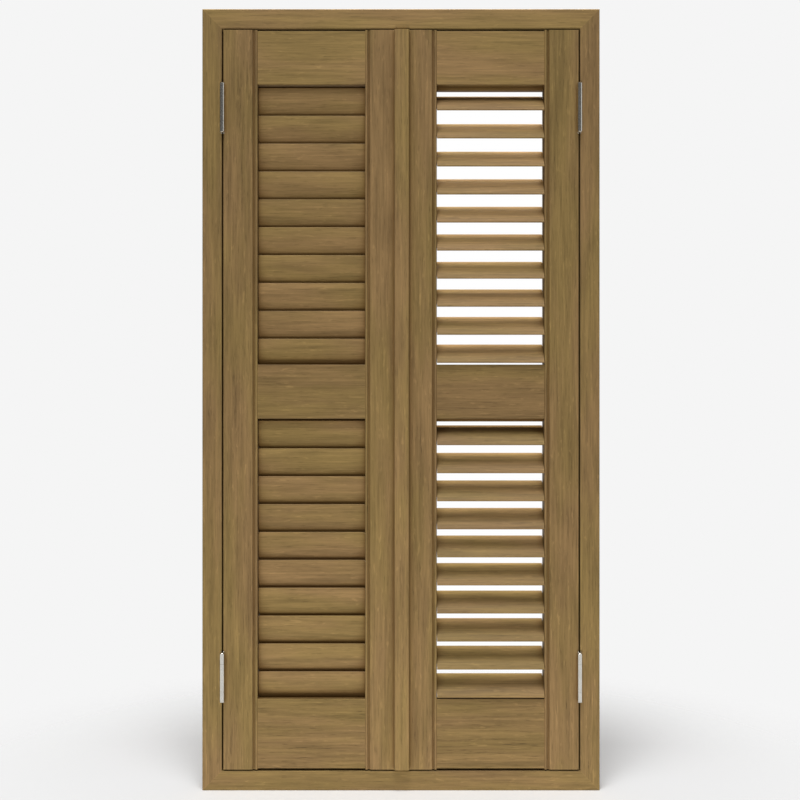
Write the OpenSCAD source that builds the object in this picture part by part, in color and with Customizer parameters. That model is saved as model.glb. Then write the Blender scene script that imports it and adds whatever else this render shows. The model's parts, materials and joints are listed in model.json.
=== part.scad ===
// Two-leaf louvred shutter in its frame, with the left louvres shut and the right louvres open.
// Origin at the centre of the sill's underside, +Z up, the front towards -Y.

/* [Louvres] */
// Slats in each bank, two banks to a leaf
slat_count = 10; // [3:1:10]
// Height from one slat's pivot to the next
slat_pitch = 50.2; // [40:0.1:64]
// How far a shut slat's upper edge covers the slat above it
slat_lap = 3.2; // [2:0.1:8]
// Thickness of a slat at its middle
slat_t = 10.5; // [7:0.1:13]
// Radius of a slat's rounded edges
slat_nose_r = 1.5; // [1:0.1:3]
// Lean of a shut slat from upright, upper edge forwards
slat_lean = 12; // [5:0.5:14]
// Slope of an open slat below level, front edge down
slat_open_slope = 38; // [0:1:42]
// Gap between a slat's end and the stile
slat_end_gap = 0.4; // [0.3:0.1:5]
// Gap between the upper rail's edge and the first shut slat
slat_top_reveal = 3.3; // [1:0.1:6]
// Gap between the last open slat's edge and the lower rail's level
slat_open_clear = 1.9; // [1:0.1:6]
// Room between a slat and the lips on the rails
slat_clear = 0.5; // [0.3:0.1:2]

/* [Leaf] */
// Clear width between a leaf's stiles
louvre_w = 192.75; // [120:0.25:320]
// Thickness of a leaf
leaf_t = 36; // [28:0.5:38]
// Width of a stile
stile_w = 61.575; // [50:0.005:90]
// Width of the bead along a stile's louvre edge
bead_w = 4.8; // [4:0.1:7]
// Radius of the bead's rounded edges
bead_r = 2; // [1:0.1:2]
// Width of the quirk groove beside the bead
quirk_w = 4.2; // [2:0.1:6]
// Depth of the quirk groove
quirk_d = 3; // [1:0.1:4]
// Rounding of the leaf's outer edges
leaf_edge_r = 1.5; // [0.5:0.1:3]
// Height of the top rail
top_rail_h = 96; // [60:1:160]
// Height of the middle rail
middle_rail_h = 97; // [60:1:160]
// Height of the bottom rail
bottom_rail_h = 125; // [60:1:200]
// How far the rails lie behind the stiles' faces
rail_setback = 1.5; // [0.5:0.1:3]
// How far the rails stop short of the stiles' ends
rail_end_step = 1.5; // [0.5:0.1:4]
// Rounding of the rails' edges
rail_edge_r = 1; // [0.5:0.1:2]
// How far the lip behind the first slat hangs below its rail
stop_lip_h = 5.5; // [4:0.1:12]
// Length of the rails' tenons
tenon_len = 8; // [5:0.5:9]
// Thickness of the rails' tenons
tenon_t = 8; // [6:0.5:10]
// Step from a rail's edge to its tenon's edge
tenon_inset = 16; // [12:1:24]
// Room for glue round a tenon
glue_gap = 0.1; // [0.05:0.05:0.3]

/* [Cover strip] */
// Width of the strip that covers the meeting of the leaves
strip_w = 26.4; // [18:0.1:40]
// Thickness of the cover strip
strip_t = 12; // [8:0.5:16]
// How far the strip's middle lies from the meeting, towards the right leaf
strip_shift = 1.4; // [0:0.1:4]
// Rounding of the strip's front edges
strip_edge_r = 3; // [1:0.1:4]
// How far the strip stops short of the stiles' ends
strip_end_step = 2; // [0:0.5:10]
// Gap between the strip and the right leaf that it laps
strip_relief = 0.4; // [0.3:0.1:1]

/* [Frame] */
// Width of the frame's face
frame_face = 35; // [30:0.5:60]
// Depth of the frame from front to back
frame_depth = 50; // [46:0.5:80]
// How far the stop reaches in behind the leaves
stop_w = 12; // [8:0.5:20]
// Gap between the leaves' backs and the stop
stop_gap = 1; // [0.5:0.1:3]
// Gap between a leaf and the frame
leaf_gap = 2.5; // [2:0.1:5]
// Gap where the leaves meet
meeting_gap = 5.2; // [5:0.1:8]
// Rounding of the frame's front edges
frame_edge_r = 2; // [1:0.1:4]
// Radius of the fixing holes through the jambs
fixing_r = 3.25; // [2.5:0.25:5]
// Height between a jamb's two fixing holes
fixing_spacing = 800; // [300:10:860]

/* [Hinges] */
// Radius of a hinge's barrel
barrel_r = 4.3; // [3.5:0.1:5]
// Gap between the barrel and the faces behind it
barrel_clear = 0.3; // [0.2:0.1:1]
// Radius of a hinge's pin
hinge_pin_r = 2; // [1.5:0.1:2.5]
// Running clearance round a hinge's pin
hinge_pin_clear = 0.05; // [0.02:0.01:0.1]
// Length of the long knuckle on the leaf
long_knuckle = 49; // [30:0.5:70]
// Length of each short knuckle on the frame, with its domed tip
short_knuckle = 20.6; // [14:0.1:30]
// Gap between knuckles
knuckle_gap = 0.3; // [0.2:0.1:0.6]
// Rise of a knuckle's domed tip
tip_rise = 2; // [1:0.1:3]
// Shoulder left round a domed tip
tip_shoulder = 0.3; // [0.2:0.1:0.8]
// Thickness of a hinge's flaps
flap_t = 2; // [1.2:0.1:2.5]
// Depth of the flaps behind the faces
flap_depth = 22; // [16:0.5:26]
// Height from the leaf's top to the upper hinge's middle
upper_hinge_drop = 140; // [60:0.5:220]
// Height from the leaf's foot to the lower hinge's middle
lower_hinge_rise = 165.5; // [60:0.5:220]

/* [Tilt gear] */
// Radius of a slat's pivot pins
pivot_r = 3; // [2.5:0.1:3.5]
// Running clearance round a pivot pin
pivot_clear = 0.05; // [0.02:0.01:0.1]
// Depth of the plain pivot holes in the meeting stiles
pivot_hole_d = 12; // [8:0.5:20]
// Wood between a hanging stile's louvre edge and its channel
channel_wall = 10; // [10:0.5:14]
// Module of the rack and pinion teeth
tooth_module = 1; // [0.9:0.05:1.1]
// Teeth on each slat's pinion
pinion_teeth = 10; // [9:1:11]
// Pressure angle of the teeth
pressure_angle = 25; // [22:1:28]
// Height of a tooth above the pitch line, in modules
tooth_height = 0.7; // [0.6:0.05:0.8]
// Room at the foot of a tooth
tooth_foot_gap = 0.25; // [0.15:0.05:0.3]
// Free play between teeth
tooth_play = 0.12; // [0.08:0.02:0.2]
// Width of the pinions and the tilt bar
pinion_w = 8; // [6:0.5:12]
// Thickness of the tilt bar behind its teeth
bar_t = 4; // [3:0.1:4.5]
// Plain length at each end of the tilt bar
bar_end = 4; // [2:0.5:10]
// Room round the tilt bar and the pinions in the channel
channel_clear = 0.3; // [0.2:0.05:0.6]

/* [Hidden] */
$fn = 96;
cut = 1;
oak = [0.55, 0.45, 0.29];
oak_slat = [0.57, 0.46, 0.29];
nickel = [0.74, 0.74, 0.72];
nylon = [0.86, 0.85, 0.80];

slat_total = 2 * slat_count;
half_chord = (slat_pitch + slat_lap) / cos(slat_lean) / 2;
slat_travel = 90 - slat_lean + slat_open_slope;
slat_len = louvre_w - 2 * slat_end_gap;
first_drop = half_chord * cos(slat_lean) + slat_top_reveal;
last_rise = half_chord * sin(slat_open_slope) + slat_nose_r + slat_open_clear;
tuck = max(half_chord * cos(slat_lean) - last_rise, 0);
bank_h = first_drop + (slat_count - 1) * slat_pitch + last_rise;

leaf_w = louvre_w + 2 * stile_w;
leaf_x0 = meeting_gap / 2;
leaf_x1 = leaf_x0 + leaf_w;
louvre_x0 = leaf_x0 + stile_w;
louvre_x1 = leaf_x1 - stile_w;
jamb_x = leaf_x1 + leaf_gap;
frame_w = 2 * (jamb_x + frame_face);

leaf_z0 = frame_face + leaf_gap;
bottom_rail_z = leaf_z0 + rail_end_step;
lower_bank_z = bottom_rail_z + bottom_rail_h;
middle_rail_z = lower_bank_z + bank_h;
upper_bank_z = middle_rail_z + middle_rail_h;
top_rail_z = upper_bank_z + bank_h;
leaf_z1 = top_rail_z + top_rail_h + rail_end_step;
frame_h = leaf_z1 + leaf_gap + frame_face;

front_y = -frame_depth / 2;
back_y = frame_depth / 2;
leaf_back_y = front_y + leaf_t;
pivot_y = front_y + leaf_t / 2;
stop_y = leaf_back_y + stop_gap;
rail_front_y = front_y + rail_setback;
rail_back_y = leaf_back_y - rail_setback;
lip_offset = slat_t / 2 + slat_clear;

hinge_x = leaf_x1 + leaf_gap / 2;
hinge_y = front_y - barrel_r - barrel_clear;
barrel_h = long_knuckle + 2 * (knuckle_gap + short_knuckle);
hinge_heights = [leaf_z0 + lower_hinge_rise, leaf_z1 - upper_hinge_drop];

tooth_pitch = PI * tooth_module;
pinion_r = pinion_teeth * tooth_module / 2;
tooth_up = tooth_height * tooth_module;
tooth_down = tooth_up + tooth_foot_gap;
bar_travel = pinion_r * slat_travel * PI / 180;
teeth_below = ceil(bar_travel / tooth_pitch) + 1;
teeth_above = 2;
rack_y = pivot_y + pinion_r;
bar_front_y = rack_y + tooth_down;
bar_back_y = bar_front_y + bar_t;
bar_z0 = pivot_z(slat_total) - (teeth_below + 0.5) * tooth_pitch - bar_end;
bar_z1 = pivot_z(1) + (teeth_above + 0.5) * tooth_pitch + bar_end;
channel_x = louvre_x1 + channel_wall;

function slat_name(side, i) = str(side, "_slat_", i < 10 ? "0" : "", i);

// Height of a slat's pivot, counted from the top of the leaf
function pivot_z(i) = i <= slat_count
    ? top_rail_z - first_drop - (i - 1) * slat_pitch
    : middle_rail_z - first_drop - (i - slat_count - 1) * slat_pitch;

// Angle between a tooth's flank at radius r and the flank's foot on the base circle
function involute(r, base_r) = tan(acos(base_r / r)) * 180 / PI - acos(base_r / r);

function polar(r, a) = [r * cos(a), r * sin(a)];

// Draws its children on the left half, where they are modelled on the right
module on_left() {
    mirror([1, 0, 0]) children();
}

// Carries a profile drawn in Y and Z along X
module along_x(x0, x1) {
    translate([x0, 0, 0]) rotate([90, 0, 90]) linear_extrude(x1 - x0) children();
}

// What is cut from a corner at the origin to round it
module corner_cut(r) {
    difference() {
        translate([-cut, -cut]) square(r + cut);
        translate([r, r]) circle(r);
    }
}

// Frame: an L section, face in front and stop behind, mitred at the corners

module frame_section() {
    difference() {
        union() {
            translate([0, front_y]) square([frame_face, frame_depth]);
            translate([0, stop_y]) square([frame_face + stop_w, back_y - stop_y]);
        }
        translate([0, front_y]) corner_cut(frame_edge_r);
        translate([frame_face, front_y]) mirror([1, 0]) corner_cut(frame_edge_r);
    }
}

// Keeps the part of a member of the given length that lies between its two mitres
module mitred(length) {
    reach = frame_face + stop_w;
    intersection() {
        children();
        translate([0, back_y, 0]) rotate([90, 0, 0]) linear_extrude(frame_depth)
            polygon([
                [-length / 2, 0],
                [length / 2, 0],
                [length / 2 - reach, reach],
                [-length / 2 + reach, reach]
            ]);
    }
}

module frame_member(length) {
    mitred(length)
        translate([length / 2, 0, 0]) rotate([0, -90, 0]) linear_extrude(length) frame_section();
}

module frame_sill() {
    color(oak) frame_member(frame_w);
}

module frame_head() {
    color(oak) translate([0, 0, frame_h]) mirror([0, 0, 1]) frame_member(frame_w);
}

module frame_right_jamb() {
    color(oak) difference() {
        translate([frame_w / 2, 0, frame_h / 2]) rotate([0, -90, 0]) frame_member(frame_h);
        for (z = hinge_heights)
            translate([jamb_x, front_y - cut, z - barrel_h / 2])
                cube([flap_t, flap_depth + cut, barrel_h]);
        for (s = [-1, 1])
            translate([jamb_x - stop_w - cut, (stop_y + back_y) / 2, frame_h / 2 + s * fixing_spacing / 2])
                rotate([0, 90, 0]) cylinder(r = fixing_r, h = frame_face + stop_w + 2 * cut);
    }
}

module frame_left_jamb() {
    on_left() frame_right_jamb();
}

// Leaf: stiles with a quirked bead, rails with lips for the end slats

// One face of the stile, louvre edge at zero, with what is moulded into it
module stile_face_cuts() {
    translate([bead_w, -cut]) square([quirk_w, quirk_d + cut]);
    corner_cut(bead_r);
    translate([bead_w, 0]) mirror([1, 0]) corner_cut(bead_r);
    translate([stile_w, 0]) mirror([1, 0]) corner_cut(leaf_edge_r);
}

module stile_section() {
    difference() {
        translate([0, front_y]) square([stile_w, leaf_t]);
        translate([0, front_y]) stile_face_cuts();
        translate([0, leaf_back_y]) mirror([0, 1]) stile_face_cuts();
    }
}

// Sockets for the three rails' tenons, on the stile's louvre edge at zero
module mortises() {
    for (rail = [[bottom_rail_z, bottom_rail_h], [middle_rail_z, middle_rail_h], [top_rail_z, top_rail_h]])
        translate([-cut, pivot_y - tenon_t / 2 - glue_gap, rail[0] + tenon_inset - glue_gap])
            cube([
                tenon_len + glue_gap + cut,
                tenon_t + 2 * glue_gap,
                rail[1] - 2 * tenon_inset + 2 * glue_gap
            ]);
}

// A stile with its louvre edge at zero, drilled for the slats' pivots
module stile(hole_d) {
    difference() {
        translate([0, 0, leaf_z0]) linear_extrude(leaf_z1 - leaf_z0) stile_section();
        mortises();
        for (i = [1:slat_total])
            translate([-cut, pivot_y, pivot_z(i)]) rotate([0, 90, 0])
                cylinder(r = pivot_r + pivot_clear, h = hole_d + cut);
    }
}

// Space inside the hanging stile where the pinions turn and the tilt bar slides
module channel() {
    front = pivot_y - pinion_r - tooth_up - channel_clear;
    translate([channel_x, front, bar_z0 - channel_clear])
        cube([
            pinion_w + 2 * channel_clear,
            bar_back_y + channel_clear - front,
            bar_z1 - bar_z0 + bar_travel + 2 * channel_clear
        ]);
}

module right_hanging_stile() {
    color(oak) difference() {
        translate([louvre_x1, 0, 0]) stile(channel_wall + cut);
        channel();
        for (z = hinge_heights)
            translate([leaf_x1 - flap_t, front_y - cut, z - barrel_h / 2])
                cube([flap_t + cut, flap_depth + cut, barrel_h]);
    }
}

module right_meeting_stile() {
    color(oak) translate([louvre_x0, 0, 0]) mirror([1, 0, 0]) stile(pivot_hole_d);
}

module left_hanging_stile() {
    on_left() right_hanging_stile();
}

module left_meeting_stile() {
    on_left() right_meeting_stile();
}

// A rail of height h that may have a lip hanging behind the slat below it, and a rebate
// behind its upper edge for the slat above it
module rail(z, h, lip, rebate) {
    along_x(louvre_x0, louvre_x1) difference() {
        union() {
            translate([rail_front_y, z]) square([rail_back_y - rail_front_y, h]);
            if (lip)
                translate([pivot_y + lip_offset, z - stop_lip_h])
                    square([rail_back_y - pivot_y - lip_offset, stop_lip_h + cut]);
        }
        if (rebate)
            translate([pivot_y - lip_offset, z + h - tuck - slat_clear])
                square([leaf_t, tuck + slat_clear + cut]);
        translate([rail_front_y, z]) corner_cut(rail_edge_r);
        translate([rail_front_y, z + h]) mirror([0, 1]) corner_cut(rail_edge_r);
    }
    for (x = [louvre_x0 - tenon_len, louvre_x1])
        translate([x, pivot_y - tenon_t / 2, z + tenon_inset])
            cube([tenon_len, tenon_t, h - 2 * tenon_inset]);
}

module right_top_rail() {
    color(oak) rail(top_rail_z, top_rail_h, true, false);
}

module right_middle_rail() {
    color(oak) rail(middle_rail_z, middle_rail_h, true, true);
}

module right_bottom_rail() {
    color(oak) rail(bottom_rail_z, bottom_rail_h, false, true);
}

module left_top_rail() {
    on_left() right_top_rail();
}

module left_middle_rail() {
    on_left() right_middle_rail();
}

module left_bottom_rail() {
    on_left() right_bottom_rail();
}

// Cover strip on the left leaf, relieved where it laps the right leaf
module cover_strip() {
    x0 = strip_shift - strip_w / 2;
    z0 = leaf_z0 + strip_end_step;
    color(oak) translate([0, 0, z0]) linear_extrude(leaf_z1 - strip_end_step - z0) difference() {
        translate([x0, front_y - strip_t]) square([strip_w, strip_t]);
        translate([-leaf_x0, front_y - strip_relief]) square([strip_w, strip_relief + cut]);
        translate([x0, front_y - strip_t]) corner_cut(strip_edge_r);
        translate([x0 + strip_w, front_y - strip_t]) mirror([1, 0]) corner_cut(strip_edge_r);
    }
}

// Hinges, modelled round their own axis with the middle of the barrel at zero

// A short knuckle that stands on z0 and ends in a domed tip
module short_knuckle_solid(z0) {
    dome_r = barrel_r - tip_shoulder;
    ball_r = (dome_r * dome_r + tip_rise * tip_rise) / (2 * tip_rise);
    translate([0, 0, z0]) rotate_extrude() {
        square([barrel_r, short_knuckle - tip_rise]);
        intersection() {
            translate([0, short_knuckle - tip_rise - cut]) square([dome_r, tip_rise + cut]);
            translate([0, short_knuckle - ball_r]) circle(ball_r);
        }
    }
}

// A flap that lies from x in the depth of the gap, with a neck from z0 to z1 out to the barrel
module flap(x, necks) {
    translate([x, front_y - hinge_y, -barrel_h / 2]) cube([flap_t, flap_depth, barrel_h]);
    for (neck = necks)
        translate([x, 0, neck[0]]) cube([flap_t, front_y - hinge_y + cut, neck[1] - neck[0]]);
}

module hinge_frame_half() {
    start = long_knuckle / 2 + knuckle_gap;
    stop = barrel_h / 2 - tip_rise;
    difference() {
        flap(leaf_gap / 2, [[start, stop], [-stop, -start]]);
        cylinder(r = barrel_r + barrel_clear / 2, h = 2 * start, center = true);
    }
    short_knuckle_solid(start);
    mirror([0, 0, 1]) short_knuckle_solid(start);
    cylinder(r = hinge_pin_r, h = 2 * start + 2 * cut, center = true);
}

module hinge_leaf_half() {
    difference() {
        union() {
            flap(-leaf_gap / 2 - flap_t, [[-long_knuckle / 2, long_knuckle / 2]]);
            cylinder(r = barrel_r, h = long_knuckle, center = true);
        }
        cylinder(r = hinge_pin_r + hinge_pin_clear, h = barrel_h, center = true);
    }
}

// Places a hinge half at both hinges of the right leaf
module at_hinges() {
    for (z = hinge_heights) translate([hinge_x, hinge_y, z]) children();
}

module hinge_frame_halves() {
    color(nickel) {
        at_hinges() hinge_frame_half();
        on_left() at_hinges() hinge_frame_half();
    }
}

module right_hinge_leaf_halves() {
    color(nickel) at_hinges() hinge_leaf_half();
}

module left_hinge_leaf_halves() {
    on_left() right_hinge_leaf_halves();
}

// Louvres: slats of lens section, turned together by a rack hidden in the hanging stile

// Two shallow arcs that meet round noses, chord upright
module slat_section() {
    nose_z = half_chord - slat_nose_r;
    bulge = slat_t / 2 - slat_nose_r;
    arc_r = (nose_z * nose_z + bulge * bulge) / (2 * bulge);
    intersection() {
        translate([arc_r - slat_t / 2, 0]) circle(arc_r, $fn = 360);
        translate([slat_t / 2 - arc_r, 0]) circle(arc_r, $fn = 360);
        square([2 * slat_t, 2 * nose_z], center = true);
    }
    for (s = [-1, 1]) translate([0, s * nose_z]) circle(slat_nose_r);
}

// Involute pinion with the gap between two teeth facing the rack
module pinion_section() {
    base_r = pinion_r * cos(pressure_angle);
    tip_r = pinion_r + tooth_up;
    foot_r = pinion_r - tooth_down;
    half_tooth = 90 / pinion_teeth - tooth_play / 4 / pinion_r * 180 / PI;
    half_foot = half_tooth + involute(pinion_r, base_r);
    half_tip = half_foot - involute(tip_r, base_r);
    polygon([
        for (k = [0:pinion_teeth - 1])
            let (mid = (k + 0.5) * 360 / pinion_teeth)
            each [
                polar(foot_r, mid - half_foot),
                polar(base_r, mid - half_foot),
                polar(pinion_r, mid - half_tooth),
                polar(tip_r, mid - half_tip),
                polar(tip_r, mid + half_tip),
                polar(pinion_r, mid + half_tooth),
                polar(base_r, mid + half_foot),
                polar(foot_r, mid + half_foot)
            ]
    ]);
}

// A slat with its pivot pins and pinion, turned from upright by an angle
module slat(i, angle) {
    pinion_x = channel_x + channel_clear;
    x0 = louvre_x0 + slat_end_gap;
    color(oak_slat) translate([0, pivot_y, pivot_z(i)]) rotate([angle, 0, 0]) {
        along_x(x0, x0 + slat_len) slat_section();
        along_x(louvre_x0 - pivot_hole_d + slat_end_gap, x0 + cut) circle(pivot_r);
        along_x(x0 + slat_len - cut, pinion_x + cut) circle(pivot_r);
        rotate([-slat_lean, 0, 0]) along_x(pinion_x, pinion_x + pinion_w) pinion_section();
    }
}

// The four corners of a rack tooth that is centred at height z
function rack_tooth(z) =
    let (
        half = tooth_pitch / 4 - tooth_play / 4,
        tip = half - tooth_up * tan(pressure_angle),
        foot = half + tooth_down * tan(pressure_angle)
    ) [
        [bar_front_y, z - foot],
        [rack_y - tooth_up, z - tip],
        [rack_y - tooth_up, z + tip],
        [bar_front_y, z + foot]
    ];

// Flat bar with a short run of rack teeth at each slat, raised as far as the slats are opened
module tilt_bar(raised) {
    x0 = channel_x + channel_clear;
    teeth = [
        for (i = [slat_total:-1:1])
            for (k = [-teeth_below:teeth_above])
                each rack_tooth(pivot_z(i) + k * tooth_pitch)
    ];
    ends = [[bar_front_y, bar_z1], [bar_back_y, bar_z1], [bar_back_y, bar_z0], [bar_front_y, bar_z0]];
    color(nylon) translate([0, 0, raised]) along_x(x0, x0 + pinion_w) polygon(concat(teeth, ends));
}

module left_tilt_bar() {
    on_left() tilt_bar(0);
}

module right_tilt_bar() {
    tilt_bar(bar_travel);
}

frame_head();
frame_sill();
frame_left_jamb();
frame_right_jamb();
left_hanging_stile();
left_meeting_stile();
left_top_rail();
left_middle_rail();
left_bottom_rail();
right_hanging_stile();
right_meeting_stile();
right_top_rail();
right_middle_rail();
right_bottom_rail();
cover_strip();
hinge_frame_halves();
left_hinge_leaf_halves();
right_hinge_leaf_halves();
left_tilt_bar();
right_tilt_bar();
for (i = [1:slat_total]) {
    on_left() slat(i, slat_lean);
    slat(i, slat_lean + slat_travel);
}
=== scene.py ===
"""Looks of a two-leaf louvred shutter in its frame: oiled oak boards, nickel hinges, a pale studio."""
import json
import logging
import math
from dataclasses import dataclass, field
from enum import Enum
from typing import Iterable

import bmesh
import bpy
import numpy as np
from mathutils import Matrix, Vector


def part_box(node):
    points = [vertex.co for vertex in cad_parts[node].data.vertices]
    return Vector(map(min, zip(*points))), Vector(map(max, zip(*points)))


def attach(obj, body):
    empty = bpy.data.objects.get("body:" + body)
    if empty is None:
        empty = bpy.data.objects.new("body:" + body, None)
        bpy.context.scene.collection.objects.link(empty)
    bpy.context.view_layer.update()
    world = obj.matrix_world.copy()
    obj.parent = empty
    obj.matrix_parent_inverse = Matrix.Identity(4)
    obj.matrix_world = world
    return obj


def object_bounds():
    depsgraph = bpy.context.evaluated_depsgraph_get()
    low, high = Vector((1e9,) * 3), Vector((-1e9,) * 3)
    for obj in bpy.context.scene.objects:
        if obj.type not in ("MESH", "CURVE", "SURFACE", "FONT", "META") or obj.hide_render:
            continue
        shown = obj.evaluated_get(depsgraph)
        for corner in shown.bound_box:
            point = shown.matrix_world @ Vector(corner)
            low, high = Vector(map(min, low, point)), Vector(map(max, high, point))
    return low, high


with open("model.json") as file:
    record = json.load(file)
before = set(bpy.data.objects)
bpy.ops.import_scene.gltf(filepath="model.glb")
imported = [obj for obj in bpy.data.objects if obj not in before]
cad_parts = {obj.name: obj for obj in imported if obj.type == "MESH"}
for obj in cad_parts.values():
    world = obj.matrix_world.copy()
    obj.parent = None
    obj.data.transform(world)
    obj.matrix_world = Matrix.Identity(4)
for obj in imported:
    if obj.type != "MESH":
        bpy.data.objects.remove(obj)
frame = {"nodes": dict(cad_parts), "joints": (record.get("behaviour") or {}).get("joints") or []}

LOG = logging.getLogger("shutters")
CAD_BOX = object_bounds()
MM = 0.001
SAME_POINT = 1e-6
# Brightness of the cover strip: partly its tone, partly painted light.
STRIP_TONE_AND_LIGHT = 1.1

Triple = tuple[float, float, float]
Colour = tuple[float, float, float, float]
Span = tuple[float, float]
Socket = bpy.types.NodeSocket


class Grain(Enum):
    """Row axis that a board's grain runs along."""

    ALONG_X = 0
    ALONG_Z = 2


class Side(Enum):
    """Which leaf, by its sign along X."""

    LEFT = -1
    RIGHT = 1

    @property
    def word(self) -> str:
        """The word that the leaf's nodes start with."""
        return self.name.lower()


def srgb(red: float, green: float, blue: float) -> Colour:
    """Turns a display colour of 0 to 255 into a linear colour with full alpha.

    Args:
        red: Red level on the display.
        green: Green level on the display.
        blue: Blue level on the display.

    Returns:
        Linear red, green, blue and alpha.
    """
    levels = np.array([red, green, blue]) / 255
    linear = np.where(levels <= 0.04045, levels / 12.92, ((levels + 0.055) / 1.055) ** 2.4)
    return (*linear.tolist(), 1.0)


def grey(level: float) -> Colour:
    """Gives a neutral linear colour of one level."""
    return (level, level, level, 1.0)


class Graph:
    """Builds the nodes of one material or world, from its coordinates to its shader."""

    # Factor, A and B of a colour mix, whose socket names repeat for other types, and its result.
    MIX_INPUTS = (0, 6, 7)
    MIX_RESULT = 2
    SHELTER_SAMPLES = 8
    SHELTER_SPAN: Span = (0.35, 0.95)
    EDGE_SAMPLES = 4
    EDGE_SPAN: Span = (0.01, 0.2)

    def __init__(self, owner: bpy.types.Material | bpy.types.World) -> None:
        """Turns nodes on and finds the shader.

        Args:
            owner: Material or world that the nodes belong to.
        """
        owner.use_nodes = True
        is_world = isinstance(owner, bpy.types.World)
        self.owner = owner
        self.tree = owner.node_tree
        self.shader = self.tree.nodes["Background" if is_world else "Principled BSDF"]
        place = self.tree.nodes.new("ShaderNodeTexCoord")
        self.coords = place.outputs["Generated" if is_world else "Object"]

    @classmethod
    def material(cls, name: str) -> "Graph":
        """Starts a new material of that name."""
        return cls(bpy.data.materials.new(name))

    def add(self, kind: str, **props: object) -> bpy.types.Node:
        """Adds a node and sets its properties.

        Args:
            kind: Blender's name for the node's type.
            **props: Property values of the node.

        Returns:
            The new node.
        """
        node = self.tree.nodes.new(kind)
        for key, value in props.items():
            setattr(node, key, value)
        return node

    def join(self, source: object, target: Socket) -> None:
        """Links an output socket to an input, or sets the input to a plain value."""
        if isinstance(source, Socket):
            self.tree.links.new(source, target)
        else:
            target.default_value = source

    def set(self, **values: object) -> None:
        """Feeds the shader's inputs, each named with _ for a space, from a socket or a plain value."""
        for key, value in values.items():
            self.join(value, self.shader.inputs[key.replace("_", " ")])

    def math(self, operation: str, a: object, b: object = 0.0, c: object = 0.0) -> Socket:
        """Adds a Math node.

        Args:
            operation: Blender's name for the operation.
            a: First input, a socket or a number.
            b: Second input.
            c: Third input.

        Returns:
            The result's socket.
        """
        node = self.add("ShaderNodeMath", operation=operation)
        for value, socket in zip((a, b, c), node.inputs):
            self.join(value, socket)
        return node.outputs[0]

    def inverse(self, value: Socket) -> Socket:
        """Takes a value from 1."""
        return self.math("SUBTRACT", 1.0, value)

    def spread(self, value: Socket, level: float, middle: float = 1.0) -> Socket:
        """Spreads a value of 0 to 1 over a range.

        Args:
            value: What is spread.
            level: Width of the range.
            middle: Middle of the range.

        Returns:
            The spread value's socket.
        """
        return self.math("MULTIPLY_ADD", value, level, middle - level / 2)

    def noise(self, scale: Triple, shift: Triple, octaves: float, rough: float = 0.5, bend: float = 0.0) -> Socket:
        """Adds a noise that is stretched by its own scale along each axis.

        Args:
            scale: Cycles in a metre along X, Y and Z.
            shift: Where in the noise this piece was cut.
            octaves: Detail of the noise.
            rough: Strength of each finer octave.
            bend: Distortion of the noise.

        Returns:
            The noise's value, from 0 to 1.
        """
        place = self.add("ShaderNodeMapping")
        place.inputs["Scale"].default_value = scale
        place.inputs["Location"].default_value = shift
        self.join(self.coords, place.inputs["Vector"])
        node = self.add("ShaderNodeTexNoise")
        node.inputs["Scale"].default_value = 1.0
        node.inputs["Detail"].default_value = octaves
        node.inputs["Roughness"].default_value = rough
        node.inputs["Distortion"].default_value = bend
        self.join(place.outputs[0], node.inputs["Vector"])
        return node.outputs[0]

    def ramp(self, value: Socket, span: Span) -> Socket:
        """Maps a value to 0 below a span and 1 above it, smoothly between."""
        node = self.add("ShaderNodeMapRange", interpolation_type="SMOOTHSTEP")
        self.join(value, node.inputs["Value"])
        node.inputs["From Min"].default_value, node.inputs["From Max"].default_value = span
        return node.outputs[0]

    def mix(self, share: Socket, a: object, b: object) -> Socket:
        """Mixes two colours.

        Args:
            share: How much of the second colour.
            a: First colour, a socket or linear values.
            b: Second colour.

        Returns:
            The mixed colour's socket.
        """
        node = self.add("ShaderNodeMix", data_type="RGBA")
        for value, index in zip((share, a, b), self.MIX_INPUTS):
            self.join(value, node.inputs[index])
        return node.outputs[self.MIX_RESULT]

    def scaled(self, colour: Socket | Colour, factor: Socket) -> Socket:
        """Multiplies a colour, a socket or linear values, by a factor."""
        node = self.add("ShaderNodeVectorMath", operation="SCALE")
        self.join(colour[:3] if isinstance(colour, tuple) else colour, node.inputs[0])
        self.join(factor, node.inputs["Scale"])
        return node.outputs[0]

    def shelter(self, reach: float, own: bool) -> Socket:
        """Gives 1 deep in a groove or corner and 0 on open faces.

        Args:
            reach: How far away a wall may be and still count.
            own: Whether only the piece's own walls count.

        Returns:
            The mask's socket.
        """
        # Mask for painted shade: 1 where nearby walls would hide the light.
        node = self.add("ShaderNodeAmbientOcclusion", samples=self.SHELTER_SAMPLES, only_local=own)
        node.inputs["Distance"].default_value = reach
        return self.inverse(self.ramp(node.outputs["AO"], self.SHELTER_SPAN))

    def worn_edge(self, radius: float) -> Socket:
        """Gives 1 on edges and 0 on flats, by how far a rounded normal leaves the true one.

        Args:
            radius: How far in from an edge the mask reaches.

        Returns:
            The mask's socket.
        """
        # Mask for painted highlights: lighter colour along edges, as where rounded arrises catch the light.
        rounded = self.add("ShaderNodeBevel", samples=self.EDGE_SAMPLES)
        rounded.inputs["Radius"].default_value = radius
        true = self.add("ShaderNodeNewGeometry").outputs["Normal"]
        dot = self.add("ShaderNodeVectorMath", operation="DOT_PRODUCT")
        self.join(rounded.outputs[0], dot.inputs[0])
        self.join(true, dot.inputs[1])
        return self.ramp(self.inverse(dot.outputs["Value"]), self.EDGE_SPAN)

    def bump(self, height: Socket, strength: float, distance: float) -> None:
        """Raises the shader's surface by a height, as bump."""
        node = self.add("ShaderNodeBump")
        node.inputs["Strength"].default_value = strength
        node.inputs["Distance"].default_value = distance
        self.join(height, node.inputs["Height"])
        self.join(node.outputs[0], self.shader.inputs["Normal"])


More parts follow.
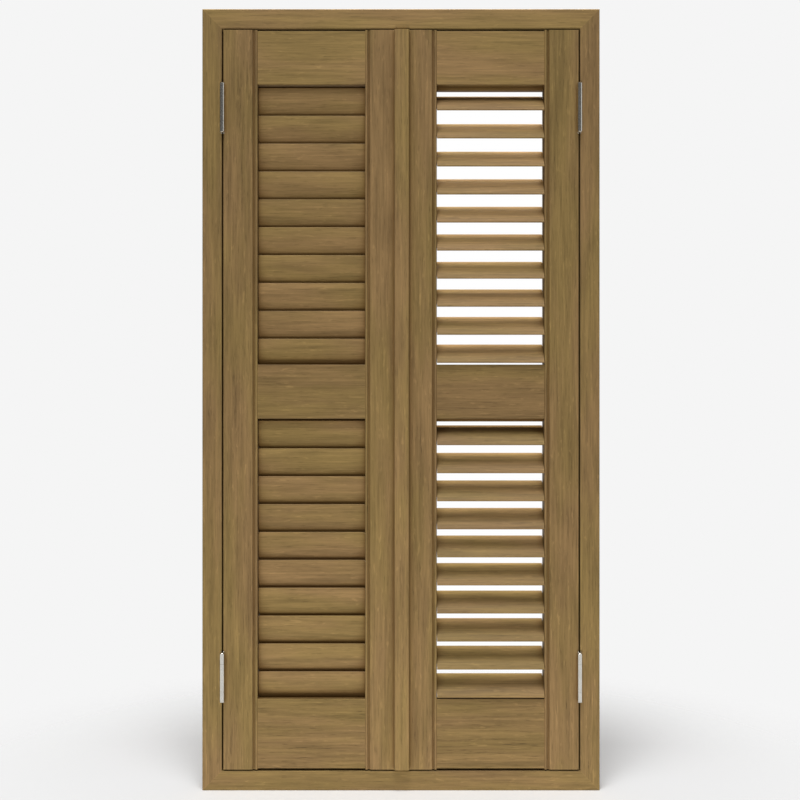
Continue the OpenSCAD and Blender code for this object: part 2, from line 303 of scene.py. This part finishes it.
@dataclass(frozen=True)
class Figure:
    """One noise in the wood, with its cycles in a metre along the grain and across it."""

    along: float
    across: float
    octaves: float
    rough: float = 0.5
    bend: float = 0.0

    def drawn(self, graph: Graph, grain: Grain, shift: Triple) -> Socket:
        """Adds the noise to a board's material.

        Args:
            graph: Nodes of the material.
            grain: Axis that the grain runs along.
            shift: Where in the wood the board was cut.

        Returns:
            The noise's value, from 0 to 1.
        """
        scale = [self.across] * 3
        scale[grain.value] = self.along
        return graph.noise(tuple(scale), shift, self.octaves, self.rough, self.bend)


@dataclass(frozen=True)
class OakFinish:
    """Oiled oak: growth bands, fine streaks, dark pores and pale ray flecks, all drawn along the grain."""

    tone: Triple = (128, 106, 64)
    warm_tone: Triple = (131, 105, 69)
    drift: Figure = Figure(3.0, 16.0, 3.0)
    drift_span: Span = (0.35, 0.65)
    bands: Figure = Figure(0.8, 7.0, 2.0, bend=0.3)
    band_turns: float = 70.0
    band_level: float = 0.07
    streaks: Figure = Figure(9.0, 240.0, 4.0, 0.7)
    streak_level: float = 0.6
    pores: Figure = Figure(40.0, 800.0, 2.0)
    pore_span: Span = (0.58, 0.72)
    pore_level: float = 0.3
    flecks: Figure = Figure(38.0, 230.0, 2.0, 0.6, 0.5)
    fleck_span: Span = (0.6, 0.72)
    fleck_level: float = 0.24
    # Painted light and shade: lighter edges, darker grooves, and darker corners where other pieces come close.
    edge_level: float = 0.2
    edge_reach: float = 1.8 * MM
    groove_level: float = 0.28
    groove_reach: float = 4.0 * MM
    corner_tone: Triple = (84, 55, 20)
    corner_level: float = 0.75
    corner_reach: float = 26.0 * MM
    roughness: float = 0.52
    roughness_spread: float = 0.16
    gloss: float = 0.14
    bump_strength: float = 0.22
    bump_height: float = 0.3 * MM

    def material(self, piece: str, grain: Grain, shift: Triple, shade: float, shaded_corners: bool) -> bpy.types.Material:
        """Makes the finish for one board, cut from its own place in the wood.

        Growth bands are the sine of a slow noise, so that they run as long contour lines. Streaks, pores and
        flecks are finer noises, each stretched along the grain. With painted highlights on edges and painted
        shade in grooves, they all scale one base colour that drifts between two tones. Boards inside the frame
        also get painted shade in the corners where other pieces come close.

        Args:
            piece: Name of the board.
            grain: Axis that the grain runs along.
            shift: Where in the wood the board was cut.
            shade: Factor on the board's brightness, partly its own tone and partly painted light and shade.
            shaded_corners: Whether painted shade darkens the corners between the board and its neighbours too.

        Returns:
            The material.
        """
        graph = Graph.material(f"oak_{piece}")
        cut = (graph, grain, shift)
        band = graph.math("SINE", graph.math("MULTIPLY", self.bands.drawn(*cut), self.band_turns))
        streak = self.streaks.drawn(*cut)
        pore = graph.ramp(self.pores.drawn(*cut), self.pore_span)
        fleck = graph.ramp(self.flecks.drawn(*cut), self.fleck_span)
        # Painted shade: darker colour deep in the board's own grooves and hollows.
        groove = graph.shelter(self.groove_reach, own=True)
        # Painted highlight: lighter colour along the edges, where rounded arrises catch the light, left out in
        # grooves.
        edge = graph.math("MULTIPLY", graph.worn_edge(self.edge_reach), graph.inverse(groove))

        factor = graph.math("MULTIPLY_ADD", band, self.band_level, shade)
        marks = (
            (graph.math("SUBTRACT", streak, 0.5), 2 * self.streak_level),
            (pore, -self.pore_level),
            (fleck, self.fleck_level),
            (edge, self.edge_level),
            (groove, -self.groove_level),
        )
        for mark, level in marks:
            factor = graph.math("MULTIPLY_ADD", mark, level, factor)
        drift = graph.ramp(self.drift.drawn(*cut), self.drift_span)
        colour = graph.scaled(graph.mix(drift, srgb(*self.tone), srgb(*self.warm_tone)), factor)
        # Painted shade: colour pulled towards dark brown where other pieces come close, as at slat ends and under
        # rails.
        if shaded_corners:
            corner = graph.math("MULTIPLY", graph.shelter(self.corner_reach, own=False), self.corner_level)
            colour = graph.mix(corner, colour, srgb(*self.corner_tone))

        rough = graph.spread(streak, self.roughness_spread, self.roughness)
        graph.set(Base_Color=colour, Roughness=rough, Specular_IOR_Level=self.gloss)
        graph.bump(graph.math("SUBTRACT", streak, pore), self.bump_strength, self.bump_height)
        return graph.owner


@dataclass(frozen=True)
class NickelFinish:
    """Satin nickel plate, brushed round the barrel, a little uneven in colour and gloss."""

    colour: Triple = (212, 209, 201)
    cloud_scale: Triple = (90.0, 90.0, 60.0)
    cloud_shift: Triple = (2.0, 1.0, 0.0)
    cloud_octaves: float = 2.0
    cloud_level: float = 0.16
    brush_scale: Triple = (60.0, 60.0, 2600.0)
    brush_shift: Triple = (0.0, 0.0, 0.0)
    brush_octaves: float = 3.0
    brush_level: float = 0.08
    roughness: float = 0.24
    bump_strength: float = 0.03
    bump_height: float = 0.1 * MM

    def material(self, piece: str) -> bpy.types.Material:
        """Makes the plated finish for one piece."""
        graph = Graph.material(f"nickel_{piece}")
        brush = graph.noise(self.brush_scale, self.brush_shift, self.brush_octaves)
        cloud = graph.noise(self.cloud_scale, self.cloud_shift, self.cloud_octaves)
        colour = graph.scaled(srgb(*self.colour), graph.spread(cloud, self.cloud_level))
        rough = graph.spread(brush, self.brush_level, self.roughness)
        graph.set(Metallic=1.0, Base_Color=colour, Roughness=rough)
        graph.bump(brush, self.bump_strength, self.bump_height)
        return graph.owner


@dataclass(frozen=True)
class NylonFinish:
    """Plain moulded nylon with a faint orange-peel surface."""

    colour: Triple = (222, 218, 205)
    peel_scale: Triple = (700.0, 700.0, 700.0)
    peel_shift: Triple = (0.0, 0.0, 0.0)
    peel_octaves: float = 2.0
    peel_level: float = 0.08
    roughness: float = 0.48
    bump_strength: float = 0.12
    bump_height: float = 0.1 * MM

    def material(self, piece: str) -> bpy.types.Material:
        """Makes the moulded finish for one piece."""
        graph = Graph.material(f"nylon_{piece}")
        peel = graph.noise(self.peel_scale, self.peel_shift, self.peel_octaves)
        colour = graph.scaled(srgb(*self.colour), graph.spread(peel, self.peel_level))
        graph.set(Base_Color=colour, Roughness=self.roughness)
        graph.bump(peel, self.bump_strength, self.bump_height)
        return graph.owner


def dress(node: str, material: bpy.types.Material) -> None:
    """Gives a CAD node's object one material.

    Args:
        node: Name of the node.
        material: Finish that covers it.
    """
    mesh = frame["nodes"][node].data
    mesh.materials.clear()
    mesh.materials.append(material)
    LOG.info("dressed %s", node)


def surface(name: str, grids: Iterable[np.ndarray]) -> bpy.types.Object:
    """Makes one smooth mesh object from grids of points.

    Each grid has rows and columns of points. Neighbouring points in both directions make one face. Points
    that fall together, at a pole or where the last column repeats the first, are then merged.

    Args:
        name: Name of the piece.
        grids: Arrays of shape rows, columns, 3, in metres.

    Returns:
        The new object, at the origin.
    """
    points, faces, start = [], [], 0
    for grid in grids:
        rows, columns, _ = grid.shape
        index = start + np.arange(rows * columns).reshape(rows, columns)
        corners = (index[:-1, :-1], index[1:, :-1], index[1:, 1:], index[:-1, 1:])
        faces.append(np.stack(corners, axis=-1).reshape(-1, 4))
        points.append(grid.reshape(-1, 3))
        start += rows * columns
    mesh = bpy.data.meshes.new(name)
    mesh.from_pydata(np.concatenate(points).tolist(), [], np.concatenate(faces).tolist())
    shell = bmesh.new()
    shell.from_mesh(mesh)
    bmesh.ops.remove_doubles(shell, verts=shell.verts, dist=SAME_POINT)
    shell.to_mesh(mesh)
    shell.free()
    mesh.polygons.foreach_set("use_smooth", np.ones(len(mesh.polygons), dtype=bool))
    mesh.update()
    piece = bpy.data.objects.new(name, mesh)
    bpy.context.scene.collection.objects.link(piece)
    return piece


@dataclass
class Boards:
    """Deals out oak finishes, so that no two boards are cut from the same place."""

    finish: OakFinish
    seed: int = 41
    wood_span: float = 40.0
    shade_spread: float = 0.03
    rng: np.random.Generator = field(init=False)

    def __post_init__(self) -> None:
        """Seeds the draw."""
        self.rng = np.random.default_rng(self.seed)

    def cover(self, node: str, grain: Grain, shade: float, shaded_corners: bool = False) -> None:
        """Dresses one board.

        Args:
            node: Name of the board's node.
            grain: Axis that its grain runs along.
            shade: Mean brightness of this kind of board, partly its tone and partly painted light and shade.
            shaded_corners: Whether it lies inside the frame, with painted shade in its corners.
        """
        shift = tuple(self.rng.uniform(0.0, self.wood_span, 3).tolist())
        own_tone_and_light = shade + self.rng.uniform(-self.shade_spread, self.shade_spread)
        dress(node, self.finish.material(node, grain, shift, own_tone_and_light, shaded_corners))


@dataclass
class OuterFrame:
    """The four mitred members round the leaves."""

    boards: Boards
    # Brightness per member, partly tone and partly painted light and shade: head lighter, sill and jambs darker.
    rail_shades: tuple[tuple[str, float], ...] = (("frame_head", 1.18), ("frame_sill", 0.93))
    jambs: tuple[str, ...] = ("frame_left_jamb", "frame_right_jamb")
    jamb_shade: float = 0.95

    def build(self) -> None:
        """Dresses the members, grain along each."""
        for node, shade in self.rail_shades:
            self.boards.cover(node, Grain.ALONG_X, shade)
        for node in self.jambs:
            self.boards.cover(node, Grain.ALONG_Z, self.jamb_shade)


@dataclass
class Leaf:
    """One leaf: two stiles, three rails, its slats and the hidden tilt bar."""

    side: Side
    boards: Boards
    tilt_finish: NylonFinish
    stiles: tuple[str, ...] = ("hanging_stile", "meeting_stile")
    # Brightness per kind, partly tone and partly painted light and shade: top rails and slats lighter, lower rails
    # darker.
    stile_shade: float = 0.97
    rail_shades: tuple[tuple[str, float], ...] = (
        ("top_rail", 1.16),
        ("middle_rail", 0.9),
        ("bottom_rail", 0.91),
    )
    slat_shade: float = 1.09

    def slats(self) -> list[str]:
        """Names this leaf's slats, from the top."""
        return sorted(n for n in frame["nodes"] if n.startswith(f"{self.side.word}_slat_"))

    def build(self) -> None:
        """Dresses every piece of the leaf, the grain along each board."""
        word = self.side.word
        for stile in self.stiles:
            self.boards.cover(f"{word}_{stile}", Grain.ALONG_Z, self.stile_shade, shaded_corners=True)
        for rail, shade in self.rail_shades:
            self.boards.cover(f"{word}_{rail}", Grain.ALONG_X, shade, shaded_corners=True)
        for slat in self.slats():
            self.boards.cover(slat, Grain.ALONG_X, self.slat_shade, shaded_corners=True)
        dress(f"{word}_tilt_bar", self.tilt_finish.material(f"{word}_tilt_bar"))


@dataclass
class Hinges:
    """Four butt hinges: plated halves, and the screws in their flaps."""

    finish: NickelFinish
    halves: tuple[str, ...] = ("hinge_frame_halves", "left_hinge_leaf_halves", "right_hinge_leaf_halves")
    flap_half: float = 45.4 * MM
    screw_in: float = 12 * MM
    screw_drops: tuple[float, ...] = (-31 * MM, 0.0, 31 * MM)
    head_r: float = 3.3 * MM
    head_rise: float = 0.35 * MM
    head_rows: int = 14
    head_columns: int = 65
    slot_half: float = 0.5 * MM
    slot_reach: float = 2.1 * MM
    slot_depth: float = 0.3 * MM

    def head(self, centre: Vector, towards: int) -> np.ndarray:
        """Works out one screw head as a height over a disc, closed by a cone sunk in the flap.

        Height is a shallow dome that falls to zero at the rim with the square of the radius, less a cross
        recess whose two arms have a fixed width and reach. The last row is the cone's tip, as deep as the
        dome is high.

        Args:
            centre: Middle of the head on the flap's face.
            towards: +1 or -1, the way along X that the head faces.

        Returns:
            Grid of points.
        """
        radius = np.linspace(0.0, 1.0, self.head_rows)[:, None] * self.head_r
        turn = np.linspace(0.0, 2 * np.pi, self.head_columns)[None, :] * towards
        across, up = radius * np.cos(turn), radius * np.sin(turn)
        dome = self.head_rise * (1 - (radius / self.head_r) ** 2) + 0 * turn
        arm = (np.minimum(np.abs(across), np.abs(up)) < self.slot_half) & (radius < self.slot_reach)
        height = dome - np.where(arm, self.slot_depth, 0.0)
        top = np.stack([centre.x + towards * height, centre.y + across, centre.z + up], axis=-1)
        tip = np.full((1, self.head_columns, 3), centre) - np.array([towards * self.head_rise, 0.0, 0.0])
        return np.concatenate([top, tip])

    def flap_heads(self, side: Side, face_x: float, towards: int) -> list[np.ndarray]:
        """Gives the heads on the two flaps of one side that share a face.

        Args:
            side: Which leaf the flaps belong to.
            face_x: Distance of the flaps' face from the middle.
            towards: The way along X that the face looks.

        Returns:
            Grids of points.
        """
        low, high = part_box(f"{side.word}_hinge_leaf_halves")
        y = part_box(f"{side.word}_hanging_stile")[0].y + self.screw_in
        middles = (low.z + self.flap_half, high.z - self.flap_half)
        heights = [middle + drop for middle in middles for drop in self.screw_drops]
        return [self.head(Vector((side.value * face_x, y, z)), towards) for z in heights]

    def build(self) -> None:
        """Dresses the hinge halves and makes the screws that ride on each body."""
        for node in self.halves:
            dress(node, self.finish.material(node))
        swing = next(j for j in frame["joints"] if j["name"] == "right_leaf_swing")
        leaf_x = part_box("right_hanging_stile")[1].x
        jamb_x = 2 * swing["pos_m"][0] - leaf_x
        sets = {
            "frame_hinge_screws": ("frame", [(side, jamb_x, -side.value) for side in Side]),
            "left_leaf_hinge_screws": ("left_leaf", [(Side.LEFT, leaf_x, Side.LEFT.value)]),
            "right_leaf_hinge_screws": ("right_leaf", [(Side.RIGHT, leaf_x, Side.RIGHT.value)]),
        }
        for name, (body, flaps) in sets.items():
            piece = surface(name, [grid for flap in flaps for grid in self.flap_heads(*flap)])
            piece.data.materials.append(self.finish.material(name))
            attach(piece, body)
            LOG.info("made %s on %s", name, body)


@dataclass(frozen=True)
class Lamp:
    """A square soft lamp, which glossy surfaces may show or not, and which may spare the floor."""

    name: str
    place: Triple
    size: float
    power: float
    mirrored: bool = False
    on_floor: bool = True

    def hang(self, aim: Triple) -> None:
        """Adds the lamp to the scene, pointed at a place."""
        data = bpy.data.lights.new(self.name, "AREA")
        data.size = self.size
        data.energy = self.power
        lamp = bpy.data.objects.new(self.name, data)
        lamp.location = self.place
        lamp.visible_glossy = self.mirrored
        lamp.rotation_euler = (Vector(aim) - Vector(self.place)).to_track_quat("-Z", "Y").to_euler()
        bpy.context.scene.collection.objects.link(lamp)
        if not self.on_floor:
            spared = bpy.data.collections.new(f"{self.name}_spares")
            spared.objects.link(bpy.data.objects["floor"])
            spared.collection_objects[0].light_linking.link_state = "EXCLUDE"
            lamp.light_linking.receiver_collection = spared


@dataclass
class Studio:
    """Pale floor and backdrop, soft lamps, and a level camera square to the front."""

    lens_mm: float = 54.72
    sensor_mm: float = 36.0
    distance: float = 2.178
    image_px: int = 800
    middle_px: tuple[float, float] = (401.0, 399.7)
    px_size: float = 1.7915 * MM
    floor_level: float = 0.96
    floor_roughness: float = 0.9
    floor_gloss: float = 0.1
    floor_r: float = 1.1
    floor_fade: Span = (0.45, 1.045)
    floor_rings: int = 12
    floor_spokes: int = 65
    pale: Triple = (245, 245, 245)
    white: Triple = (255, 255, 255)
    white_left: Span = (-0.15, 0.02)
    white_right: Span = (0.12, 0.158)
    white_height: Span = (0.232, 0.304)
    low_sky: float = 0.05
    high_sky: float = 0.28
    sky_span: Span = (-0.3, 0.5)
    bright_gloss: float = 0.9
    dim_gloss: float = 0.09
    card_foot: Span = (-0.08, 0.1)
    card_side: Span = (0.65, 1.0)
    aim: Triple = (0.0, 0.0, 0.7)
    lamps: tuple[Lamp, ...] = (
        Lamp("key", (-0.2, -2.5, 7.0), 3.0, 380.0, mirrored=True),
        Lamp("low_fill", (-0.25, -3.6, -1.7), 0.8, 68.0),
        Lamp("front_fill", (-0.25, -3.5, 0.3), 1.6, 30.0),
        Lamp("back", (0.2, 0.75, 3.2), 1.2, 200.0, on_floor=False),
    )

    def camera(self) -> None:
        """Places a level camera that looks along +Y at the middle of the front."""
        top = CAD_BOX[1][2]
        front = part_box("frame_sill")[0].y
        half = self.image_px / 2
        data = bpy.data.cameras.new("camera")
        data.lens = self.lens_mm
        data.sensor_width = self.sensor_mm
        eye = bpy.data.objects.new("camera", data)
        eye.location = (
            -(self.middle_px[0] - half) * self.px_size,
            front - self.distance,
            top / 2 + (self.middle_px[1] - half) * self.px_size,
        )
        eye.rotation_euler = (math.pi / 2, 0.0, 0.0)
        bpy.context.scene.collection.objects.link(eye)
        bpy.context.scene.camera = eye

    def floor(self) -> None:
        """Makes a round matt floor that fades out before its rim, so that only the shadow shows.

        Points lie on rings round the origin, at even steps of radius and turn.
        """
        radius = np.linspace(0.0, self.floor_r, self.floor_rings)[:, None]
        turn = np.linspace(0.0, 2 * np.pi, self.floor_spokes)[None, :]
        grid = np.stack([radius * np.cos(turn), radius * np.sin(turn), 0 * radius * turn], axis=-1)
        piece = surface("floor", [grid])
        graph = Graph.material("floor")
        length = graph.add("ShaderNodeVectorMath", operation="LENGTH")
        graph.join(graph.coords, length.inputs[0])
        shown = graph.inverse(graph.ramp(length.outputs["Value"], self.floor_fade))
        graph.set(Alpha=shown, Base_Color=grey(self.floor_level))
        graph.set(Roughness=self.floor_roughness, Specular_IOR_Level=self.floor_gloss)
        piece.data.materials.append(graph.owner)
        piece.visible_shadow = False

    def world(self) -> None:
        """Lights more from above than below, and shows a pale colour to the camera.

        The camera sees one pale grey, with painted light making it whiter straight behind the open louvres.
        Gloss sees the same pale level, dimmed above the horizon as by a dark card that ends short of the
        far right.
        """
        graph = Graph(bpy.data.worlds.new("studio"))
        bpy.context.scene.world = graph.owner
        path = graph.add("ShaderNodeLightPath").outputs
        split = graph.add("ShaderNodeSeparateXYZ")
        graph.join(graph.coords, split.inputs[0])
        x, y, z = split.outputs

        # Painted light: the backdrop turns whiter straight behind the open louvres.
        behind = graph.math("GREATER_THAN", y, 0.0)
        bounds = (
            graph.ramp(x, self.white_left),
            graph.inverse(graph.ramp(x, self.white_right)),
            graph.inverse(graph.ramp(graph.math("ABSOLUTE", z), self.white_height)),
        )
        for bound in bounds:
            behind = graph.math("MULTIPLY", behind, bound)
        seen = graph.mix(behind, srgb(*self.pale), srgb(*self.white))

        lit = graph.mix(graph.ramp(z, self.sky_span), grey(self.low_sky), grey(self.high_sky))
        card = graph.math("SUBTRACT", graph.ramp(z, self.card_foot), graph.ramp(x, self.card_side))
        gloss = graph.mix(graph.math("MAXIMUM", card, 0.0), grey(self.bright_gloss), grey(self.dim_gloss))
        colour = graph.mix(path["Is Glossy Ray"], lit, gloss)
        direct = graph.math("MAXIMUM", path["Is Camera Ray"], path["Is Transmission Ray"])
        graph.set(Color=graph.mix(direct, colour, seen))

    def build(self) -> None:
        """Makes the floor, the lights and the camera."""
        bpy.context.scene.view_settings.view_transform = "Standard"
        self.floor()
        self.world()
        for lamp in self.lamps:
            lamp.hang(self.aim)
        self.camera()
        LOG.info("set up the studio with %d lamps", len(self.lamps))


def main() -> None:
    """Dresses the pieces in order and sets up the studio."""
    logging.basicConfig(level=logging.INFO, format="%(name)s: %(message)s")
    boards = Boards(OakFinish())
    OuterFrame(boards).build()
    boards.cover("cover_strip", Grain.ALONG_Z, STRIP_TONE_AND_LIGHT)
    for side in Side:
        Leaf(side, boards, NylonFinish()).build()
    Hinges(NickelFinish()).build()
    Studio().build()


if __name__ == "__main__":
    main()
